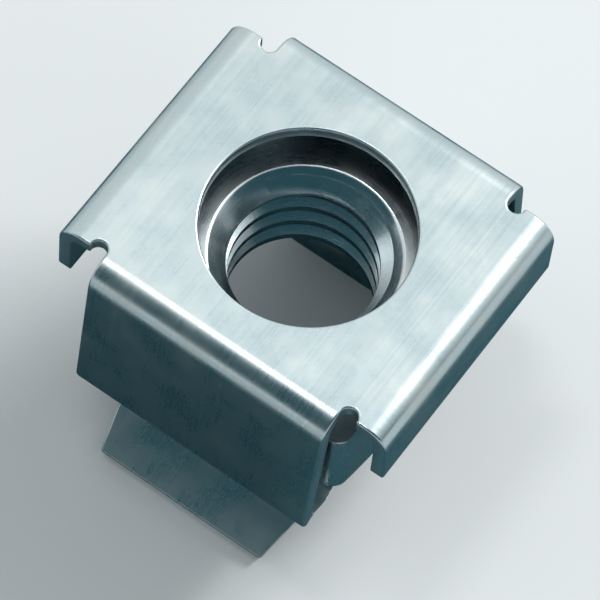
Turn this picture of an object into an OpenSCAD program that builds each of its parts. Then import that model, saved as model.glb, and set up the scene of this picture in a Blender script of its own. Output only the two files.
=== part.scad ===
// Rack cage nut: a square M6 nut held loosely in a cage that is folded from one strip of spring steel.
// The two sprung wings snap into the square hole of a rack rail, and the nut floats between them.
// The part stands on the lips of its wings, with the flat back face up. Z is the screw's axis,
// X runs from wing to wing and Y from tab to tab. The origin is on the axis, at the height of the lips.

/* [Screw and rack] */
// Outer diameter of the screw's thread
screw_d = 6; // [5:0.1:6.5]
// Pitch of the thread
thread_pitch = 1; // [0.8:0.05:1.2]
// Side of the square hole in the rack rail
rack_hole = 9.5; // [9.3:0.1:12]
// Play of a wing's width in the rack hole, on each side
rack_clear = 0.15; // [0.05:0.05:0.5]

/* [Nut] */
// Width across the nut's flats
nut_w = 10; // [9:0.1:12]
// Height of the nut
nut_h = 4.8; // [4:0.1:5.8]
// Radius of the nut's four upright corners
nut_corner_r = 0.5; // [0.2:0.1:1]
// Diameter of the flat ring inside the nut's turned chamfer
chamfer_d = 9.6; // [8.5:0.1:9.9]
// Slope of the turned chamfer, up from the nut's lower face
chamfer_a = 36; // [20:1:45]
// Widest diameter of the countersinks at both ends of the thread
sink_d = 6.4; // [6.2:0.1:7]

/* [Play inside the cage] */
// Gap between the nut and each wing, where the wing leaves the back face
wing_play = 0.2; // [0.1:0.05:0.5]
// Gap between the nut and each tab
tab_play = 0.95; // [0.3:0.05:1.5]
// Gap left under the nut where it rests on the wings' shoulders
seat_gap = 0.05; // [0.02:0.01:0.3]
// Gap around the screw in the back face's hole
hole_clear = 0.55; // [0.3:0.05:0.9]
// Gap between the screw and each wing's neck
neck_clear = 0.15; // [0.05:0.05:0.5]

/* [Sheet] */
// Thickness of the spring steel
sheet_t = 0.5; // [0.4:0.05:0.6]
// Inside radius of the bends between back face and wings
wing_bend_r = 0.45; // [0.3:0.05:0.8]
// Inside radius of the bends between back face and tabs
tab_bend_r = 0.4; // [0.2:0.05:0.8]
// Width of the four relief notches
relief_w = 0.6; // [0.4:0.1:0.8]
// Depth of the relief notches into the back face
relief_in = 0.35; // [0.3:0.05:0.6]

/* [Tabs] */
// Drop of the tabs below the top of the back face
tab_drop = 2.7; // [1.6:0.1:4]

/* [Wings] */
// Straight length of a wing's wall
wall_l = 5.3; // [5:0.1:7]
// Outward lean of the walls
wall_splay = 5.5; // [2:0.5:8]
// Inside radius of the shoulder's corner
corner_r = 0.3; // [0.2:0.05:0.6]
// Slope of the shoulder, measured from the screw's axis
shoulder_a = 69; // [60:1:75]
// Radius of the neck, at the middle of the sheet
neck_r = 1.15; // [0.8:0.05:1.3]
// Slope of the lip, measured from the screw's axis
lip_a = 65; // [50:1:70]
// Overall length over both lips
lip_span = 13; // [12:0.1:14]
// Width of a lip at its free edge
lip_w = 6.4; // [5:0.1:8]

/* [Hidden] */
$fn = 64;

half_t = sheet_t / 2;
// Reach of a cutter past what it cuts, and the lap that fuses a straight run to the bends beside it
cut = 1;
lap = 0.002;
steel = "#b9c4c8";
nut_steel = "#aeb8bd";

bore_d = screw_d - thread_pitch;
sink_h = (sink_d - bore_d) / 2;
hole_d = screw_d + 2 * hole_clear;
wing_w = rack_hole - 2 * rack_clear;

// Radii of the bends at the middle of the sheet
wing_r = wing_bend_r + half_t;
tab_r = tab_bend_r + half_t;
shoulder_r = corner_r + half_t;

// Where the flat back face ends and each bend begins: clear of the nut, and the tabs' bends of the notches
face_x = nut_w / 2 + wing_play - wing_bend_r;
face_y = max(nut_w / 2 + tab_play - tab_bend_r, wing_w / 2 + relief_w);

// Directions along a wing, as angles from +X, on its way down from the back face
wall_h = wall_splay - 90;
shoulder_h = -shoulder_a - 90;
lip_h = lip_a - 90;

// The end of a straight run from point p, and of a bend from direction h0 to h1
function run_end(p, len, h) = p + len * [cos(h), sin(h)];
function bend_end(p, r, h0, h1) =
    p + sign(h1 - h0) * r * [sin(h1) - sin(h0), cos(h0) - cos(h1)];

// Points on the middle of a wing's sheet, in the XZ plane, with the top of the back face at zero
wall_top = bend_end([face_x, -half_t], wing_r, 0, wall_h);
wall_end = run_end(wall_top, wall_l, wall_h);
shoulder_top = bend_end(wall_end, shoulder_r, wall_h, shoulder_h);
neck_x = screw_d / 2 + neck_clear + half_t;
shoulder_l = (shoulder_top[0] - neck_x - neck_r * (1 + sin(shoulder_h))) / -cos(shoulder_h);
neck_top = run_end(shoulder_top, shoulder_l, shoulder_h);
neck_end = bend_end(neck_top, neck_r, shoulder_h, lip_h);
lip_l = (lip_span / 2 + half_t * sin(lip_h) - neck_end[0]) / cos(lip_h);
lip_end = run_end(neck_end, lip_l, lip_h);

// Height from the lips' lowest edge to the top of the back face
cage_h = half_t * cos(lip_h) - lip_end[1];

// The wing narrows evenly along the sheet, from the shoulder to the free edge of the lip
neck_l = neck_r * (lip_h - shoulder_h) * PI / 180;
taper_l = shoulder_l + neck_l + lip_l;
function wing_w_at(len) = wing_w - (wing_w - lip_w) * len / taper_l;

// Height of the shoulder's upper face under the rim of the nut's lower face
seat_z = cage_h + shoulder_top[1] + half_t * cos(shoulder_a - 90)
    + (chamfer_d / 2 - shoulder_top[0] + half_t * cos(shoulder_a)) * tan(90 - shoulder_a);
nut_z = seat_z + seat_gap;

// The sheet's path along one wing: [length] is a straight run, [radius, turn] is a bend
wing_path = [
    [face_x],
    [wing_r, wall_h],
    [wall_l],
    [shoulder_r, shoulder_h - wall_h],
    [shoulder_l],
    [neck_r, lip_h - shoulder_h],
    [lip_l]
];

// The sheet's path along one tab
tab_path = [
    [face_y],
    [tab_r, -90],
    [tab_drop - half_t - tab_r]
];

// A sector of a ring, which starts at the origin along +X and turns left
module bend(r, turn) {
    far = 2 * (r + sheet_t);
    translate([0, r])
        intersection() {
            difference() {
                circle(r + half_t);
                circle(r - half_t);
            }
            polygon([[0, 0], for (k = [0:3]) far * [sin(turn * k / 3), -cos(turn * k / 3)]]);
        }
}

// The edge view of the folded sheet, drawn run after run along a path
module folded(path, i = 0) {
    if (i < len(path)) {
        a = path[i];
        if (len(a) == 1) {
            laps = i < len(path) - 1 ? 2 : 1;
            translate([-lap, -half_t]) square([a[0] + laps * lap, sheet_t]);
            translate([a[0], 0]) folded(path, i + 1);
        } else {
            turn = abs(a[1]);
            side = a[1] > 0 ? 0 : 1;
            mirror([0, side]) bend(a[0], turn);
            mirror([0, side])
                translate([a[0] * sin(turn), a[0] * (1 - cos(turn))])
                    rotate(turn)
                        mirror([0, side]) folded(path, i + 1);
        }
    }
}

// Both halves of a strip, with the top of the back face at height cage_h
module strip_edge(path) {
    translate([0, cage_h - half_t])
        for (side = [0, 1]) mirror([side, 0]) folded(path);
}

// Outline of a wing as it is seen along X: straight on the wall, then narrower to the lip
module wing_front() {
    outline = [
        [wing_w / 2, cut],
        [wing_w / 2, shoulder_top[1]],
        [wing_w_at(shoulder_l) / 2, neck_top[1]],
        [wing_w_at(shoulder_l + neck_l) / 2, neck_end[1]],
        [lip_w / 2, lip_end[1]],
        [lip_w / 2, -cage_h - cut],
        [0, -cage_h - cut],
        [0, cut]
    ];
    translate([0, cage_h])
        for (side = [0, 1]) mirror([side, 0]) polygon(outline);
}

// The strip that runs from wing to wing
module wing_strip() {
    intersection() {
        rotate([90, 0, 0]) linear_extrude(wing_w, center = true) strip_edge(wing_path);
        rotate([90, 0, 90]) linear_extrude(lip_span + 2 * cut, center = true) wing_front();
    }
}

// The strip that runs from tab to tab, between the two wing bends
module tab_strip() {
    rotate([90, 0, 90]) linear_extrude(2 * face_x, center = true) strip_edge(tab_path);
}

// A notch with a round end beside each wing bend, so that the sheet doesn't tear there
module relief() {
    w = relief_w / 2;
    translate([face_x - relief_in + w, wing_w / 2 + w, cage_h - sheet_t - cut]) {
        cylinder(r = w, h = sheet_t + 2 * cut);
        translate([0, -w, 0]) cube([wing_r + cut, relief_w, sheet_t + 2 * cut]);
    }
}

// The spring-steel cage
module cage() {
    color(steel)
        difference() {
            union() {
                wing_strip();
                tab_strip();
            }
            translate([0, 0, cage_h - sheet_t - cut]) cylinder(d = hole_d, h = sheet_t + 2 * cut);
            for (sx = [0, 1], sy = [0, 1])
                mirror([sx, 0, 0]) mirror([0, sy, 0]) relief();
        }
}

// Square with rounded corners
module rounded_square(w, r) {
    square([w, w - 2 * r], center = true);
    square([w - 2 * r, w], center = true);
    for (sx = [-1, 1], sy = [-1, 1]) translate([sx, sy] * (w / 2 - r)) circle(r);
}

// The square nut, with its turned chamfer on the side of the wings
module nut() {
    ring_r = chamfer_d / 2;
    color(nut_steel)
        translate([0, 0, nut_z])
            difference() {
                intersection() {
                    linear_extrude(nut_h) rounded_square(nut_w, nut_corner_r);
                    cylinder(h = nut_h, r1 = ring_r, r2 = ring_r + nut_h / tan(chamfer_a));
                }
                translate([0, 0, -cut]) cylinder(d = bore_d, h = nut_h + 2 * cut);
                cylinder(h = sink_h, d1 = sink_d, d2 = bore_d);
                translate([0, 0, nut_h - sink_h]) cylinder(h = sink_h, d1 = bore_d, d2 = sink_d);
            }
}

cage();
nut();
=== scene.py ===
"""Rack cage nut: a square M6 nut held loosely in a cage folded from one strip of spring steel.

The cage is blanked flat and then folded, as it is in the press. The nut is a square blank with
a turned chamfer, countersunk and tapped. Both are barrel-plated with bright zinc and passivated
pale blue.
"""

import math

import bmesh
import bpy
from mathutils import Matrix, Vector


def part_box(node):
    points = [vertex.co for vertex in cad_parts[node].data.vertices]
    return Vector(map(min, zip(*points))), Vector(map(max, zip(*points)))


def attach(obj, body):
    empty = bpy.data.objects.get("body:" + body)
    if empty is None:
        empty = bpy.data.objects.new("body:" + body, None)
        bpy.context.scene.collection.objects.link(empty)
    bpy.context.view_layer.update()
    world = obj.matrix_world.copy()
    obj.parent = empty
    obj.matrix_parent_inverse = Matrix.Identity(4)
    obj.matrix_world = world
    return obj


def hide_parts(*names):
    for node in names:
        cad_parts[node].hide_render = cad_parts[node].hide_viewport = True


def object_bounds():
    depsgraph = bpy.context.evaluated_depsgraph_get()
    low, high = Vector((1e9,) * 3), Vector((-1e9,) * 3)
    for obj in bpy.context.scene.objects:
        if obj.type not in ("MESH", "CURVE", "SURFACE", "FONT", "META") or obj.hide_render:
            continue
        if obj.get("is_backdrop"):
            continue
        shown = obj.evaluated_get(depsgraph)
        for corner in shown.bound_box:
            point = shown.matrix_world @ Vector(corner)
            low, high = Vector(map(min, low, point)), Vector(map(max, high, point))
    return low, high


bl_info = {
    "name": "Rack cage nut",
    "version": (1, 0, 0),
    "blender": (4, 5, 0),
    "location": "View3D > Sidebar > Cage nut",
    "description": "Builds a square nut in its folded spring-steel cage, and the studio round it",
    "category": "Add Mesh",
}

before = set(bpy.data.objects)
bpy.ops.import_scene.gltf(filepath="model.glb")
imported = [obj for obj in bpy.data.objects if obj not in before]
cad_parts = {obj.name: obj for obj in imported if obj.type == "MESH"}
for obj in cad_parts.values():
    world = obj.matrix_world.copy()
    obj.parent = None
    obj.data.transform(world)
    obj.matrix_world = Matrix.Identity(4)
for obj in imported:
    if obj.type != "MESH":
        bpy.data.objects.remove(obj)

MM = 0.001
CAGE_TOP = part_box("cage")[1].z
NUT_BOTTOM, NUT_TOP = (corner.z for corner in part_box("nut"))

# How near to a line a face or a point lies to count as on it
NEAR = 0.01 * MM
# Reach of a tool past what it cuts
SPARE = 0.5 * MM
# A longer run is drawn whole, and a shorter one in parts, so that the wing can narrow along it
WHOLE_RUN = 4 * MM
RUN_PARTS = 4
# Degrees to each step of a bend, and the fewest steps
BEND_STEP = 5
FEWEST_BEND_STEPS = 8
# Steps in one turn of the thread, and round the drilled hole
TURN_STEPS = 96

# Play at the root of the thread, and how far inside the drilled hole the tap's tooth begins
ROOT_PLAY = 0.01 * MM
TOOTH_INSIDE = 0.2 * MM

# Material indices: 0 is the rolled sheet on the cage, and the formed steel on the nut
SHEARED, WORN = 1, 2
NUT_EDGE, THREAD, BAR = 1, 2, 3


# Sizes and colours

def length(name, description, millimetres):
    return bpy.props.FloatProperty(
        name=name, description=description, default=millimetres * MM, min=0.0, precision=5,
        unit="LENGTH",
    )


def slope(name, description, degrees):
    return bpy.props.FloatProperty(
        name=name, description=description, default=math.radians(degrees), subtype="ANGLE",
    )


def linear(code):
    """An sRGB hex colour as linear red, green, blue and alpha."""
    parts = [int(code[i:i + 2], 16) / 255 for i in (1, 3, 5)]
    return (*(c / 12.92 if c <= 0.04045 else ((c + 0.055) / 1.055) ** 2.4 for c in parts), 1.0)


def colour(name, description, code):
    return bpy.props.FloatVectorProperty(
        name=name, description=description, default=linear(code), size=4, min=0.0, max=1.0,
        subtype="COLOR",
    )


class CageSizes(bpy.types.PropertyGroup):
    sheet: length("Sheet", "Thickness of the spring steel", 0.5)
    face_x: length("Face, half length", "From the axis to the start of each wing's bend", 4.75)
    face_y: length("Face, half width", "From the axis to the start of each tab's bend", 5.55)
    hole: length("Hole", "Diameter of the clearance hole in the back face", 7.1)
    relief: length("Relief", "Width of the four notches beside the wing bends", 0.6)
    relief_in: length("Relief depth", "Depth of the notches into the back face", 0.35)
    wing: length("Wing width", "Width of a wing at its wall", 9.2)
    wing_bend: length("Wing bend", "Inside radius between back face and wall", 0.45)
    wall: length("Wall", "Straight length of a wing's wall", 5.3)
    splay: slope("Splay", "Outward lean of the walls", 5.5)
    shoulder_bend: length("Shoulder bend", "Inside radius of the shoulder's corner", 0.3)
    shoulder: slope("Shoulder slope", "Slope of the shoulder, from the screw's axis", 69)
    neck: length("Neck", "Radius of the neck at the middle of the sheet", 1.15)
    gap: length("Neck gap", "From the axis to the near side of each neck", 3.15)
    lip: slope("Lip slope", "Slope of the lip, from the screw's axis", 65)
    span: length("Span", "Overall length over both lips", 13)
    lip_width: length("Lip width", "Width of a lip at its free edge", 6.4)
    tab_bend: length("Tab bend", "Inside radius between back face and tab", 0.4)
    tab: length("Tab", "Drop of the tabs below the top of the back face", 2.7)
    corner: length("Cut corner", "Rounding of the corners that the shear leaves", 0.1)
    rollover: length("Roll-over", "Rounding where the punch enters the sheet", 0.085)
    burr: length("Burr side", "Rounding where the punch leaves the sheet", 0.03)


class NutSizes(bpy.types.PropertyGroup):
    width: length("Width", "Across the flats", 10)
    corner: length("Corner", "Radius of the four upright corners", 0.5)
    ring: length("Chamfer ring", "Diameter of the flat ring inside the turned chamfer", 9.6)
    chamfer: slope("Chamfer", "Slope of the turned chamfer", 36)
    major: length("Thread", "Outer diameter of the thread", 6)
    pitch: length("Pitch", "Pitch of the thread", 1)
    sink: length("Countersink", "Widest diameter of the countersinks", 6.4)
    edge: length("Edge", "Width of the worn edges", 0.07)


class Colours(bpy.types.PropertyGroup):
    zinc: colour("Zinc", "Bright zinc on rolled sheet, passivated pale blue", "#b3c4c8")
    bloom: colour("Bloom", "Thicker passivation, as faint warm patches", "#bcc4c2")
    sheared: colour("Sheared edge", "Zinc over the sheared edges of the sheet", "#c4d2d6")
    polished: colour("Worn edge", "Zinc rubbed bright in the plating barrel", "#dbe7ea")
    forged: colour("Nut", "Zinc on the cold-formed nut", "#bfc9ce")
    cut: colour("Thread", "Zinc on the cut thread", "#b4c5ca")
    marks: colour("Marks", "Rolling, drawing and turning marks, a little darker", "#7f9196")
    hairs: colour("Scratches", "Hair-fine scratches, a little brighter", "#eaf1f3")
    floor: colour("Floor", "Pale matt floor", "#e4e7e8")
    floor_grain: colour("Floor grain", "Faint darker patches of the floor", "#dfe3e5")
    # Painted reflection: dark teal cards seen only in the metal stand in for the shade on the
    # floor round the part and for a dark room behind the camera
    card: colour("Card", "Dark cards that the metal mirrors", "#40646d")
    fill: colour("Fill", "Light from all round, on matt surfaces", "#a0a7a9")


# Tools for modelling

def active(obj):
    """Makes obj the only selected object."""
    bpy.ops.object.select_all(action="DESELECT")
    bpy.context.view_layer.objects.active = obj
    obj.select_set(True)


def primitive(kind, name, **settings):
    """Adds a primitive with nothing else selected, and puts its place and size into its mesh."""
    bpy.ops.object.select_all(action="DESELECT")
    getattr(bpy.ops.mesh, f"primitive_{kind}_add")(**settings)
    obj = bpy.context.object
    obj.name = obj.data.name = name
    bpy.ops.object.transform_apply(location=True, rotation=True, scale=True)
    return obj


def pick(obj, kind, test):
    """Enters edit mode with only the faces or edges selected that pass the test."""
    active(obj)
    bpy.ops.object.mode_set(mode="EDIT")
    bpy.ops.mesh.select_mode(type="FACE" if kind == "faces" else "EDGE")
    bpy.ops.mesh.select_all(action="DESELECT")
    mesh = bmesh.from_edit_mesh(obj.data)
    mesh.normal_update()
    found = [e for e in getattr(mesh, kind) if test(e)]
    for e in found:
        e.select_set(True)
    mesh.select_flush_mode()
    bmesh.update_edit_mesh(obj.data)
    if not found:
        raise RuntimeError(f"nothing to select on {obj.name}")


def leave_edit():
    bpy.ops.object.mode_set(mode="OBJECT")


def extrude(x, y, z):
    bpy.ops.mesh.extrude_region_move(TRANSFORM_OT_translate={"value": (x, y, z)})


def weld(obj, distance, hole_sides=0):
    """Merges points that lie together, fills holes of so many sides, and turns faces outwards."""
    active(obj)
    bpy.ops.object.mode_set(mode="EDIT")
    bpy.ops.mesh.select_mode(type="EDGE")
    bpy.ops.mesh.select_all(action="SELECT")
    bpy.ops.mesh.remove_doubles(threshold=distance)
    if hole_sides:
        bpy.ops.mesh.select_all(action="SELECT")
        bpy.ops.mesh.fill_holes(sides=hole_sides)
        bpy.ops.mesh.select_all(action="SELECT")
    bpy.ops.mesh.normals_make_consistent(inside=False)
    leave_edit()


def modify(obj, kind, **settings):
    """Adds one modifier and applies it."""
    active(obj)
    modifier = obj.modifiers.new(kind.title(), kind)
    for key, value in settings.items():
        setattr(modifier, key, value)
    bpy.ops.object.modifier_apply(modifier=modifier.name)


def cut_with(obj, tool, operation="DIFFERENCE"):
    """Cuts obj with a tool, which is then thrown away."""
    modify(obj, "BOOLEAN", object=tool, operation=operation, solver="EXACT")
    bpy.data.objects.remove(tool)


def join(first, *others):
    active(first)
    for obj in others:
        obj.select_set(True)
    bpy.ops.object.join()
    return first


def smooth(obj, degrees):
    """Rounds the shading over small bevels and keeps the large faces flat."""
    active(obj)
    bpy.ops.object.shade_smooth_by_angle(angle=math.radians(degrees))
    modify(obj, "WEIGHTED_NORMAL", weight=80, keep_sharp=True)


def check_closed(obj):
    mesh = bmesh.new()
    mesh.from_mesh(obj.data)
    open_edges = sum(1 for e in mesh.edges if not e.is_manifold)
    volume = mesh.calc_volume(signed=True)
    mesh.free()
    faces = len(obj.data.polygons)
    print(f"{obj.name}: {faces} faces, {open_edges} open edges, {volume / MM ** 3:.2f} mm3")
    if open_edges or volume <= 0:
        raise RuntimeError(f"{obj.name} isn't a closed mesh")


# The folded sheet's path, where a run is (length,) and a bend is (radius, turn)

def ahead(heading):
    return Vector((math.cos(heading), math.sin(heading)))


def above(heading):
    return Vector((-math.sin(heading), math.cos(heading)))


def step_length(step):
    return step[0] if len(step) == 1 else step[0] * abs(step[1])


class Path:
    """The middle of the sheet, from the axis out, as steps with their starts and headings."""

    def __init__(self, *steps):
        self.steps = []
        point, heading = Vector((0.0, 0.0)), 0.0
        for step in steps:
            self.steps.append((step, point, heading))
            point, heading = self.after(step, point, heading)
        self.end = point

    @staticmethod
    def centre(bend, point, heading):
        return point + math.copysign(*bend) * above(heading)

    @classmethod
    def after(cls, step, point, heading, share=1.0):
        """The point and the heading after a share of a step."""
        if len(step) == 1:
            return point + step[0] * share * ahead(heading), heading
        turned = heading + step[1] * share
        return cls.centre(step, point, heading) - math.copysign(*step) * above(turned), turned

    def unfold(self, point):
        """The distance along the sheet, and the height above its middle, of a point beside it."""
        best, along = None, 0.0
        for step, start, heading in self.steps:
            size = step_length(step)
            if len(step) == 1:
                share = (point - start).dot(ahead(heading)) / size
            else:
                middle = self.centre(step, start, heading)
                share = -(start - middle).angle_signed(point - middle, 0.0) / step[1]
            share = min(max(share, 0.0), 1.0)
            near, turned = self.after(step, start, heading, share)
            away = (point - near).length
            # The earlier step wins a tie
            if best is None or away < best[0] - 1e-9:
                best = away, along + share * size, (point - near).dot(above(turned))
            along += size
        return best[1:]


def wing_path(s):
    """From the axis over the wall, the shoulder and the neck to the end of the lip."""
    half = s.sheet / 2
    wall = s.splay - math.pi / 2
    shoulder = -s.shoulder - math.pi / 2
    lip = s.lip - math.pi / 2
    steps = [
        (s.face_x,),
        (s.wing_bend + half, wall),
        (s.wall,),
        (s.shoulder_bend + half, shoulder - wall),
    ]
    top = Path(*steps).end
    neck_x = s.gap + half
    run = (top.x - neck_x - s.neck * (1 + math.sin(shoulder))) / -math.cos(shoulder)
    steps += [(run,), (s.neck, lip - shoulder)]
    end = Path(*steps).end
    steps.append(((s.span / 2 + half * math.sin(lip) - end.x) / math.cos(lip),))
    return Path(*steps)


def tab_path(s):
    half = s.sheet / 2
    bend = s.tab_bend + half
    return Path((s.face_y,), (bend, -math.pi / 2), (s.tab - half - bend,))


def wing_half_width(s, path, z):
    """Half the wing's width at height z: even on the wall, then narrower to the lip."""
    narrowing = path.steps[4:]
    sizes = [step_length(step) for step, _, _ in narrowing]
    heights = [start.y for _, start, _ in narrowing] + [path.end.y]
    widths, done = [s.wing / 2], 0.0
    for size in sizes:
        done += size
        widths.append((s.wing - (s.wing - s.lip_width) * done / sum(sizes)) / 2)
    if z >= heights[0]:
        return widths[0]
    for k in range(len(sizes)):
        if z >= heights[k + 1]:
            share = (heights[k] - z) / (heights[k] - heights[k + 1])
            return widths[k] + share * (widths[k + 1] - widths[k])
    return widths[-1]


def fold(path, out, middle_z):
    """Draws the picked face out along a path: a run is an extrusion and a bend is a spin."""
    for step, start, heading in path.steps[1:]:
        if len(step) == 1:
            parts = 1 if step[0] > WHOLE_RUN else RUN_PARTS
            along = out * math.cos(heading) + Vector((0, 0, math.sin(heading)))
            for _ in range(parts):
                extrude(*(step[0] / parts * along))
        else:
            middle = Path.centre(step, start, heading)
            bpy.ops.mesh.spin(
                steps=max(FEWEST_BEND_STEPS, round(abs(math.degrees(step[1])) / BEND_STEP)),
                angle=-step[1], axis=out.cross(Vector((0, 0, 1))),
                center=out * middle.x + Vector((0, 0, middle_z + middle.y)),
            )


# The cage

def punched_blank(s, middle_z):
    """The flat blank, with its hole and its four notches punched before it is folded."""
    blank = primitive(
        "cube", "folded_cage", size=1, location=(0, 0, middle_z),
        scale=(2 * s.face_x, 2 * s.face_y, s.sheet),
    )
    tall = 3 * s.sheet
    punches = [primitive(
        "cylinder", "punch", vertices=128, radius=s.hole / 2, depth=tall,
        location=(0, 0, middle_z),
    )]
    notch = s.relief / 2
    for side_x, side_y in ((-1, -1), (-1, 1), (1, -1), (1, 1)):
        x = side_x * (s.face_x - s.relief_in + notch)
        y = side_y * (s.wing / 2 + notch)
        slot = primitive(
            "cylinder", "slot", vertices=32, radius=notch, depth=tall, location=(x, y, middle_z),
        )
        # The outer half of its wall is drawn out over the blank's edge
        pick(slot, "faces", lambda f: f.normal.x * side_x > 0.01 and abs(f.normal.z) < 0.5)
        extrude(side_x * 2 * SPARE, 0, 0)
        leave_edit()
        punches.append(slot)
    cut_with(blank, join(*punches))
    return blank


def make_cage(s):
    half = s.sheet / 2
    middle_z = CAGE_TOP - half
    wing, tab = wing_path(s), tab_path(s)
    blank = punched_blank(s, middle_z)

    # The folds, from the blank's edge faces outwards
    def at_edge(face, axis, edge):
        return abs(face.calc_center_median()[axis] - edge) < NEAR

    for side in (1, -1):
        pick(blank, "faces", lambda f: at_edge(f, 0, side * s.face_x)
             and abs(f.calc_center_median().y) < s.wing / 4)
        fold(wing, Vector((side, 0, 0)), middle_z)
        leave_edit()
    for side in (1, -1):
        pick(blank, "faces", lambda f: at_edge(f, 1, side * s.face_y))
        fold(tab, Vector((0, side, 0)), middle_z)
        leave_edit()

    # The wings narrow towards their lips
    wings_top = CAGE_TOP - 2 * s.sheet
    for v in blank.data.vertices:
        if abs(abs(v.co.y) - s.wing / 2) < NEAR / 2 and v.co.z < wings_top:
            v.co.y = math.copysign(wing_half_width(s, wing, v.co.z - middle_z), v.co.y)
    weld(blank, 0.0005 * MM)

    # Where a point lay on the flat blank, with the middle of the sheet at height 0
    def unfolded(co):
        if abs(co.x) > s.face_x and abs(co.y) < s.wing / 2 + 5 * NEAR:
            along, height = wing.unfold(Vector((abs(co.x), co.z - middle_z)))
            return Vector((math.copysign(along, co.x), co.y, height))
        if abs(co.y) > s.face_y:
            along, height = tab.unfold(Vector((abs(co.y), co.z - middle_z)))
            return Vector((co.x, math.copysign(along, co.y), height))
        return Vector((co.x, co.y, co.z - middle_z))

    def sharp(edge):
        return edge.calc_face_angle(0) > math.radians(50)

    def on_side(edge, side):
        return all(unfolded(v.co).z * side > half * 0.8 for v in edge.verts)

    # Sheared corners, then the rolled-over rim outside and the sharper burr side inside
    pick(blank, "edges", lambda e: sharp(e) and not on_side(e, 1) and not on_side(e, -1))
    bpy.ops.mesh.bevel(offset=s.corner, segments=4, affect="EDGES")
    leave_edit()
    for side, width, segments in ((1, s.rollover, 4), (-1, s.burr, 2)):
        pick(blank, "edges", lambda e: sharp(e) and on_side(e, side))
        bpy.ops.mesh.bevel(offset=width, segments=segments, affect="EDGES", material=WORN)
        leave_edit()

    # The flat blank's coordinates go with the mesh, so that the rolling marks follow the folds
    flat = blank.data.attributes.new("blank", "FLOAT_VECTOR", "POINT")
    flat.data.foreach_set("vector", [c for v in blank.data.vertices for c in unfolded(v.co)])
    for face in blank.data.polygons:
        heights = [flat.data[i].vector.z for i in face.vertices]
        if face.material_index == 0 and max(heights) - min(heights) > half:
            face.material_index = SHEARED
    check_closed(blank)
    smooth(blank, 32)
    return blank


# The nut

def thread_tap(s, tall):
    """One tooth of a 60 degree thread, wound up the axis."""
    root = s.major / 2 + ROOT_PLAY
    inner = (s.major - s.pitch) / 2 - TOOTH_INSIDE
    middle, start_z = (inner + root) / 2, NUT_BOTTOM - s.pitch
    tap = primitive(
        "plane", "tap", size=root - inner, rotation=(math.pi / 2, 0, 0),
        location=(middle, 0, start_z),
    )
    tip = s.pitch / 8
    base = tip + 2 * (root - inner) * math.tan(math.radians(30))
    for v in tap.data.vertices:
        width = tip if v.co.x > middle else base
        v.co.z = start_z + math.copysign(width / 2, v.co.z - start_z)
    modify(
        tap, "SCREW", angle=2 * math.pi, screw_offset=s.pitch, axis="Z",
        iterations=math.ceil(tall / s.pitch) + 2, steps=TURN_STEPS, render_steps=TURN_STEPS,
        use_smooth_shade=False,
    )
    weld(tap, 0.001 * MM, hole_sides=4)
    check_closed(tap)
    return tap


def make_nut(s):
    tall, middle_z = NUT_TOP - NUT_BOTTOM, (NUT_BOTTOM + NUT_TOP) / 2
    minor = s.major - s.pitch

    # A square blank with rounded upright corners, turned to a cone underneath
    body = primitive(
        "cube", "square_nut", size=1, location=(0, 0, middle_z), scale=(s.width, s.width, tall),
    )
    pick(body, "edges", lambda e: abs(e.verts[0].co.z - e.verts[1].co.z) > tall / 2)
    bpy.ops.mesh.bevel(offset=s.corner, segments=8, affect="EDGES")
    leave_edit()
    run = 1 / math.tan(s.chamfer)
    cut_with(body, primitive(
        "cone", "turning", vertices=2 * TURN_STEPS, depth=tall + 2 * SPARE,
        radius1=s.ring / 2 - SPARE * run, radius2=s.ring / 2 + (tall + SPARE) * run,
        location=(0, 0, middle_z),
    ), "INTERSECT")

    # The drilled and countersunk hole
    sink = (s.sink - minor) / 2
    drill = primitive(
        "cylinder", "drill", vertices=TURN_STEPS, radius=minor / 2, depth=tall - 2 * sink,
        location=(0, 0, middle_z),
    )
    grow = (s.sink / 2 + SPARE) / (minor / 2)
    for side in (1, -1):
        pick(drill, "faces", lambda f: f.normal.z * side > 0.9)
        extrude(0, 0, side * (sink + SPARE))
        bpy.ops.transform.resize(
            value=(grow, grow, 1), center_override=(0, 0, middle_z + side * (tall / 2 + SPARE)),
        )
        leave_edit()
    cut_with(body, drill)
    weld(body, 0.004 * MM)
    pick(body, "edges", lambda e: e.calc_face_angle(0) > math.radians(25))
    bpy.ops.mesh.bevel(
        offset=s.edge, segments=3, affect="EDGES", material=NUT_EDGE, clamp_overlap=False,
    )
    leave_edit()

    cut_with(body, thread_tap(s, tall))
    for face in body.data.polygons:
        if face.center.xy.length < s.sink / 2 - 2 * NEAR and abs(face.normal.z) < 0.99:
            face.material_index = THREAD
        elif abs(face.normal.z) < 0.3 and face.material_index == 0:
            face.material_index = BAR
    check_closed(body)
    smooth(body, 28)
    return body


# Materials

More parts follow.
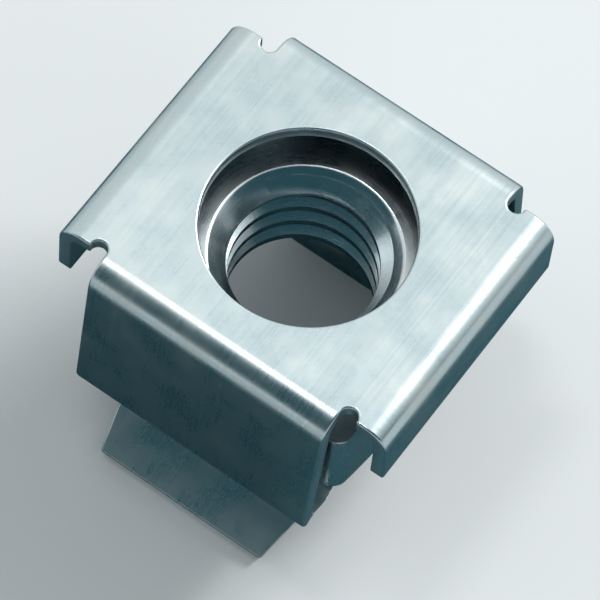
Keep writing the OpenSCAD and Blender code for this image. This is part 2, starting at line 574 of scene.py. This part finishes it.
# Each finish: its name, its colours, its roughness, the spacing and the depth of its marks in
# mm, and the way that they run. Real marks are finer, and are drawn as coarse as they need to
# be to show.
CAGE_FINISHES = (
    # Cold-rolled spring steel: the rolling marks run along the strip
    ("zinc_on_rolled_sheet", "zinc", "bloom", 0.30, 0.085, 0.002, "X"),
    # Sheared edge: rougher, with coarser and deeper lines
    ("zinc_on_sheared_edge", "sheared", "bloom", 0.36, 0.12, 0.004, "X"),
    # Rims that rub against other parts in the barrel, and so shine
    ("zinc_on_worn_edge", "polished", "sheared", 0.22, 0.10, 0.002, "X"),
)
NUT_FINISHES = (
    # Cold-formed steel, faced and chamfered on a lathe: the marks run round the axis
    ("zinc_on_formed_steel", "forged", "bloom", 0.28, 0.11, 0.005, "round"),
    # Edges that the barrel rubs bright
    ("zinc_on_nut_edge", "polished", "forged", 0.22, 0.10, 0.002, "round"),
    # Cut thread: smooth flanks, with fine marks that the tap leaves round the axis
    ("zinc_on_cut_thread", "cut", "forged", 0.24, 0.07, 0.003, "round"),
    # Sides of cold-drawn square bar: the drawing lines run up the nut
    ("zinc_on_drawn_bar", "forged", "bloom", 0.27, 0.10, 0.003, "Z"),
)

# Cells in each millimetre of the patterns that lie over every finish: soft clouds in the
# passivation, the plating's orange peel, the sheet's faint waves, and marks along their length
CLOUD_CELLS = 0.55
PEEL_CELLS = 7
WAVE_CELLS = 0.25
MARK_CELLS = 0.12
TURNED_MARK_CELLS = 0.15
# Two sets of scratches: their direction, the spacing of their cells in mm and the share of a
# cell that the line takes
SCRATCHES = ((0.5, 1.9, 0.020), (2.1, 2.6, 0.016))


def add(tree, kind, inputs=None, **settings):
    """Adds a node, with its settings, and its inputs as values or as links."""
    made = tree.nodes.new("ShaderNode" + kind)
    for key, value in settings.items():
        setattr(made, key, value)
    for key, value in (inputs or {}).items():
        if isinstance(value, bpy.types.NodeSocket):
            tree.links.new(value, made.inputs[key])
        else:
            made.inputs[key].default_value = value
    return made


def ramp(tree, value, low, high, to_low=0.0, to_high=1.0):
    """Maps a value's range to another, and stops at its ends."""
    return add(tree, "MapRange", {
        "Value": value, "From Min": low, "From Max": high, "To Min": to_low, "To Max": to_high,
    }).outputs["Result"]


def maths(tree, operation, *values):
    return add(tree, "Math", dict(enumerate(values)), operation=operation).outputs[0]


def mixed(tree, share, first, second):
    return add(
        tree, "Mix", {"Factor": share, "A": first, "B": second}, data_type="RGBA",
    ).outputs[2]


def stretched(tree, place, per_mm, turn=0.0):
    """Coordinates turned about Z and then scaled, each scale given as cells in a millimetre."""
    return add(tree, "Mapping", {
        "Vector": place, "Rotation": (0, 0, turn), "Scale": [cells / MM for cells in per_mm],
    }).outputs["Vector"]


def noise(tree, place, per_mm, detail, rough=0.55, turn=0.0):
    return add(tree, "TexNoise", {
        "Vector": stretched(tree, place, per_mm, turn), "Scale": 1.0, "Detail": detail,
        "Roughness": rough,
    }).outputs["Fac"]


def scratches(tree, place, turn, spacing_mm, width):
    """Hair-fine scratches from the plating barrel: borders of long cells, kept here and there."""
    cells = (0.35 / spacing_mm, 2.0 / spacing_mm, 1 / spacing_mm)
    border = add(tree, "TexVoronoi", {
        "Vector": stretched(tree, place, cells, turn), "Scale": 1.0,
    }, feature="DISTANCE_TO_EDGE")
    line = ramp(tree, border.outputs["Distance"], 0.0, width, 1.0, 0.0)
    kept = ramp(tree, noise(tree, place, [0.5] * 3, 1.0, turn=turn), 0.55, 0.65)
    return maths(tree, "MULTIPLY", line, kept)


def tool_marks(tree, place, spacing_mm, along):
    """Lines along one axis on rolled sheet and drawn bar, and round Z on turned faces."""
    if along != "round":
        cells = [MARK_CELLS if axis == along else 1 / spacing_mm for axis in "XYZ"]
        return noise(tree, place, cells, 2.0, 0.7)
    x, y, z = add(tree, "SeparateXYZ", {"Vector": place}).outputs
    squares = [maths(tree, "MULTIPLY", part, part) for part in (x, y)]
    radius = maths(tree, "SQRT", maths(tree, "ADD", *squares))
    # With some height in it, the radius gives lines on upright faces too
    across = maths(tree, "ADD", radius, maths(tree, "MULTIPLY", z, 0.7))
    around = maths(tree, "MULTIPLY", maths(tree, "ARCTAN2", y, x), 1.5 * MM)
    ring = add(tree, "CombineXYZ", {0: across, 1: around}).outputs[0]
    return noise(tree, ring, (1 / spacing_mm, TURNED_MARK_CELLS, 1.0), 2.0, 0.7)


def new_material(name, **values):
    """A material and its shader, with the values that are the same all over it."""
    material = bpy.data.materials.new(name)
    material.use_nodes = True
    shader = material.node_tree.nodes["Principled BSDF"]
    for key, value in values.items():
        shader.inputs[key.replace("_", " ")].default_value = value
    return material, shader


def plated_zinc(colours, place_name, name, base, other, roughness, spacing_mm, depth_mm, along):
    """Bright zinc, barrel-plated and passivated: a satin, cool grey metal that clouds softly from
    patch to patch. The rolling, drawing or turning marks of the steel show through it as fine
    lines, and the tumbling leaves a few hair-fine scratches and a faint orange peel."""
    material, shader = new_material(name, Metallic=1.0)
    tree = material.node_tree
    if place_name == "Object":
        place = add(tree, "TexCoord").outputs["Object"]
    else:
        place = add(tree, "Attribute", attribute_name=place_name).outputs["Vector"]
    base, other = getattr(colours, base), getattr(colours, other)

    marks = tool_marks(tree, place, spacing_mm, along)
    clouds = noise(tree, place, [CLOUD_CELLS] * 3, 3.0, 0.6)
    peel = noise(tree, place, [PEEL_CELLS] * 3, 2.0, 0.5)
    waves = noise(tree, place, [WAVE_CELLS] * 3, 1.0)
    hairs = maths(tree, "MAXIMUM", *(scratches(tree, place, *each) for each in SCRATCHES))

    tint = mixed(tree, ramp(tree, clouds, 0.42, 0.68, 0.0, 0.7), base, other)
    tint = mixed(tree, ramp(tree, marks, 0.35, 0.75, 0.0, 0.07), tint, colours.marks)
    tint = mixed(tree, maths(tree, "MULTIPLY", hairs, 0.14), tint, colours.hairs)
    tree.links.new(tint, shader.inputs["Base Color"])

    rough = maths(
        tree, "ADD", ramp(tree, clouds, 0.35, 0.7, roughness - 0.05, roughness + 0.06),
        ramp(tree, marks, 0.3, 0.7, -0.03, 0.05),
    )
    rough = maths(tree, "SUBTRACT", rough, maths(tree, "MULTIPLY", hairs, 0.05))
    tree.links.new(rough, shader.inputs["Roughness"])

    # Each relief: its strength, its depth in mm, and whether it goes into the surface
    normal = {}
    for height, strength, deep_mm, inwards in (
        (waves, 0.35, 0.10, False),
        (peel, 0.30, 0.006, False),
        (marks, 0.22, depth_mm, False),
        (hairs, 0.25, 0.003, True),
    ):
        normal = {"Normal": add(tree, "Bump", {
            "Height": height, "Strength": strength, "Distance": deep_mm * MM, **normal,
        }, invert=inwards).outputs[0]}
    tree.links.new(normal["Normal"], shader.inputs["Normal"])
    return material


def hand_over(piece, colours, place_name, finishes, node):
    """Gives a piece its finishes and its place in the frame."""
    indices = [face.material_index for face in piece.data.polygons]
    piece.data.materials.clear()
    for finish in finishes:
        piece.data.materials.append(plated_zinc(colours, place_name, *finish))
    piece.data.polygons.foreach_set("material_index", indices)
    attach(piece, "root")
    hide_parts(node)


# The studio

FLOOR_WIDTH = 1.6
CAMERA_AZIMUTH, CAMERA_ELEVATION, CAMERA_ROLL = 29.4, 63.7, 6.8
CAMERA_DISTANCE = 0.165
CAMERA_LENS, CAMERA_SENSOR = 300, 36
# Each lamp: azimuth in degrees from +X, elevation, distance, width, height, watts
LAMPS = (
    ("key_softbox", 158, 44, 0.30, 0.14, 0.10, 0.72),
    ("fill_softbox", 300, 40, 0.35, 0.20, 0.20, 0.05),
    ("top_softbox", 255, 77, 0.30, 0.05, 0.05, 0.10),
)


def towards(azimuth, elevation):
    """The direction to a place, given in degrees."""
    a, e = math.radians(azimuth), math.radians(elevation)
    return Vector((math.cos(a) * math.cos(e), math.sin(a) * math.cos(e), math.sin(e)))


def lay_floor(colours):
    floor = primitive("plane", "floor", size=FLOOR_WIDTH, location=(0, 0, 0))
    paint, shader = new_material("matt_floor", Roughness=0.9, Specular_IOR_Level=0.1)
    tree = paint.node_tree
    grain = noise(tree, add(tree, "TexCoord").outputs["Object"], [0.05] * 3, 2.0)
    share = ramp(tree, grain, 0.3, 0.7, 0.0, 0.25)
    tree.links.new(
        mixed(tree, share, colours.floor, colours.floor_grain), shader.inputs["Base Color"]
    )
    floor.data.materials.append(paint)
    floor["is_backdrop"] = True


def hang_painted_reflections(colours):
    """Painted reflections: dark cards, seen only in the metal: one on the floor round the part,
    as painted shade in the mirrored floor, and half a dome behind the camera, as a painted dark
    room, open at its foot and at its top."""
    paint, _ = new_material(
        "dark_card", Base_Color=colours.card, Roughness=1.0, Specular_IOR_Level=0.0,
    )
    # Painted shade in the mirrored floor: a dark disc round the part, seen only in the metal
    mat = primitive(
        "circle", "floor_card", vertices=48, radius=28 * MM, fill_type="NGON",
        location=(0, 0, 0.05 * MM),
    )
    # Painted reflection of a dark room: half a dome behind the camera, seen only in the metal
    dome = primitive(
        "uv_sphere", "dome_card", segments=48, ring_count=24, radius=250 * MM,
        location=(0, 0, 0),
    )
    behind = towards(CAMERA_AZIMUTH, 0)
    pick(dome, "faces", lambda f: f.normal.dot(behind) < 0.05 or not 0.2 < f.normal.z < 0.97)
    bpy.ops.mesh.delete(type="FACE")
    leave_edit()
    for card in (mat, dome):
        card.data.materials.append(paint)
        # Seen only by glossy rays, so they paint dark reflections into the metal and nothing else
        card.visible_camera = card.visible_diffuse = card.visible_transmission = False
        card.visible_shadow = card.visible_volume_scatter = False
        card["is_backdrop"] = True


def set_world(scene, colours):
    """White wherever it is seen, straight or in the metal, and a plain grey fill elsewhere."""
    world = bpy.data.worlds.new("studio")
    scene.world = world
    world.use_nodes = True
    tree = world.node_tree
    rays = add(tree, "LightPath").outputs
    mirrored = maths(tree, "MAXIMUM", rays["Is Glossy Ray"], rays["Is Transmission Ray"])
    seen = maths(tree, "MAXIMUM", rays["Is Camera Ray"], mirrored)
    tree.links.new(
        mixed(tree, seen, colours.fill, (1, 1, 1, 1)), tree.nodes["Background"].inputs["Color"]
    )


def hang_lamps(scene, centre):
    for name, azimuth, elevation, away, wide, tall, watts in LAMPS:
        lamp = bpy.data.lights.new(name, "AREA")
        lamp.shape, lamp.size, lamp.size_y, lamp.energy = "RECTANGLE", wide, tall, watts
        holder = bpy.data.objects.new(name, lamp)
        scene.collection.objects.link(holder)
        back = towards(azimuth, elevation)
        holder.location = centre + back * away
        holder.rotation_euler = back.to_track_quat("Z", "Y").to_euler()


def set_camera(scene, centre):
    """A long lens, from above one wing's corner, tilted a little."""
    lens = bpy.data.cameras.new("camera")
    lens.lens, lens.sensor_width = CAMERA_LENS, CAMERA_SENSOR
    lens.clip_start, lens.clip_end = 0.01, 10
    camera = bpy.data.objects.new("camera", lens)
    scene.collection.objects.link(camera)
    scene.camera = camera
    back, roll = towards(CAMERA_AZIMUTH, CAMERA_ELEVATION), math.radians(CAMERA_ROLL)
    level = (-back).cross(Vector((0, 0, 1))).normalized()
    right = level * math.cos(roll) + level.cross(-back) * math.sin(roll)
    place = Matrix((right, right.cross(-back), back)).transposed().to_4x4()
    place.translation = centre + back * CAMERA_DISTANCE
    camera.matrix_world = place


# Operators

class OBJECT_OT_folded_cage(bpy.types.Operator):
    """Blank, pierce and fold the spring-steel cage"""

    bl_idname = "object.folded_cage"
    bl_label = "Folded cage"

    def execute(self, context):
        cage = make_cage(context.scene.cage_sizes)
        hand_over(cage, context.scene.nut_colours, "blank", CAGE_FINISHES, "cage")
        return {"FINISHED"}


class OBJECT_OT_square_nut(bpy.types.Operator):
    """Turn, drill and tap the square nut"""

    bl_idname = "object.square_nut"
    bl_label = "Square nut"

    def execute(self, context):
        nut = make_nut(context.scene.nut_sizes)
        hand_over(nut, context.scene.nut_colours, "Object", NUT_FINISHES, "nut")
        return {"FINISHED"}


class SCENE_OT_nut_studio(bpy.types.Operator):
    """Set up the pale floor, the soft lights, the white background and the camera"""

    bl_idname = "scene.nut_studio"
    bl_label = "Studio"

    def execute(self, context):
        scene, colours = context.scene, context.scene.nut_colours
        low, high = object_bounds()
        centre = (low + high) / 2
        lay_floor(colours)
        hang_painted_reflections(colours)
        set_world(scene, colours)
        hang_lamps(scene, centre)
        set_camera(scene, centre)
        scene.view_settings.view_transform = "Standard"
        return {"FINISHED"}


class VIEW3D_PT_cage_nut(bpy.types.Panel):
    """Sizes, colours and steps of the cage nut"""

    bl_idname = "VIEW3D_PT_cage_nut"
    bl_label = "Cage nut"
    bl_space_type = "VIEW_3D"
    bl_region_type = "UI"
    bl_category = "Cage nut"

    def draw(self, context):
        for title, group, step in (
            ("Cage", context.scene.cage_sizes, OBJECT_OT_folded_cage.bl_idname),
            ("Nut", context.scene.nut_sizes, OBJECT_OT_square_nut.bl_idname),
            ("Colours", context.scene.nut_colours, SCENE_OT_nut_studio.bl_idname),
        ):
            box = self.layout.box()
            box.label(text=title)
            for key in group.__annotations__:
                box.prop(group, key)
            box.operator(step)


CLASSES = (
    CageSizes, NutSizes, Colours, OBJECT_OT_folded_cage, OBJECT_OT_square_nut,
    SCENE_OT_nut_studio, VIEW3D_PT_cage_nut,
)
GROUPS = {"cage_sizes": CageSizes, "nut_sizes": NutSizes, "nut_colours": Colours}


def register():
    for made in CLASSES:
        bpy.utils.register_class(made)
    for key, group in GROUPS.items():
        setattr(bpy.types.Scene, key, bpy.props.PointerProperty(type=group))


def unregister():
    for key in GROUPS:
        delattr(bpy.types.Scene, key)
    for made in reversed(CLASSES):
        bpy.utils.unregister_class(made)


def main():
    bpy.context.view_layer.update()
    register()
    bpy.ops.object.folded_cage()
    bpy.ops.object.square_nut()
    bpy.ops.scene.nut_studio()


if __name__ == "__main__":
    main()
